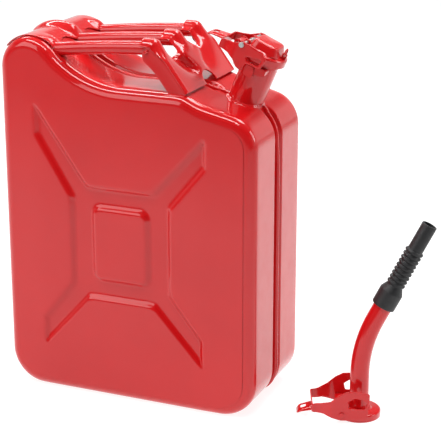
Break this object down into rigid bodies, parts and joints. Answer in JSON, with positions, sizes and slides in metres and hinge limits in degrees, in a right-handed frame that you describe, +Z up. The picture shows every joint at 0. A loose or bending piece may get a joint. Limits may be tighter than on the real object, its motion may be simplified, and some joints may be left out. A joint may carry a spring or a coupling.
{
  "type": "steel fuel can",
  "caption": "Pressed steel twenty-litre fuel can with cross-embossed sides, tube handles and a cam-lever cap, and a separate bent spout with a flexible rubber nozzle.",
  "frame": {"origin": "centre of the overall bounding box in X and Y, on the surface that the can and the spout stand on", "axes": "+Z up, +X from the can's rear hump to its neck and on to the spout, +Y from the face in the picture to the far face"},
  "size_m": [0.54, 0.165, 0.4754],
  "materials": {
    "red_paint": "glossy red powder coat",
    "plain_steel": "zinc-plated, satin",
    "black_rubber": "matte"
  },
  "bodies": {
    "can": {"front_shell": "red_paint", "rear_shell": "red_paint", "weld_seam": "red_paint", "handle_tube_near": "red_paint", "handle_tube_centre": "red_paint", "handle_tube_far": "red_paint", "handle_front_bracket": "red_paint", "handle_rear_bracket": "red_paint", "filler_neck": "red_paint", "breather_tube": "plain_steel", "neck_lug_near": "red_paint", "neck_lug_far": "red_paint", "cap_hinge_bracket": "red_paint", "cap_hinge_pin": "plain_steel"},
    "cap_assembly": {"cap": "red_paint", "cap_gasket": "black_rubber", "cap_lug_near": "red_paint", "cap_lug_far": "red_paint", "cap_eye": "red_paint", "cap_lever_pin": "plain_steel"},
    "cap_lever_arm": {"cap_lever": "red_paint"},
    "cap_wire_ring": {"cap_ring": "red_paint"},
    "spout": {"spout_base": "red_paint", "spout_gasket": "black_rubber", "spout_yoke": "red_paint", "spout_tube": "red_paint", "spout_vent_tube": "plain_steel", "spout_nozzle": "black_rubber", "spout_lever_pin": "red_paint"},
    "spout_lever_arm": {"spout_lever": "red_paint"}
  },
  "joints": [
    {"name": "cap_hinge", "type": "hinge", "parent": "can", "child": "cap_assembly", "pos_m": [0.02439, 0, 0.46336], "axis": [0, -1, 0], "range_deg": [0, 110]},
    {"name": "cap_lever_hinge", "type": "hinge", "parent": "cap_assembly", "child": "cap_lever_arm", "pos_m": [0.03802, 0, 0.46604], "axis": [0, 1, 0], "range_deg": [0, 110]},
    {"name": "cap_ring_swing", "type": "hinge", "parent": "cap_assembly", "child": "cap_wire_ring", "pos_m": [0.08137, 0, 0.45069], "axis": [0, 1, 0], "range_deg": [-25, 95]},
    {"name": "spout_lift", "type": "slide", "parent": "can", "child": "spout", "axis": [0, 0, 1], "range_m": [0, 0.12]},
    {"name": "spout_lever_hinge", "type": "hinge", "parent": "spout", "child": "spout_lever_arm", "pos_m": [0.166, -0.01175, 0.0124], "axis": [-0.3939, 0.9191, 0], "range_deg": [0, 60]}
  ],
  "couplings": [
    {"joint": "cap_lever_hinge", "follows": "cap_hinge", "ratio": 1},
    {"joint": "spout_lever_hinge", "follows": "spout_lift", "rad_per_m": 8.7}
  ]
}
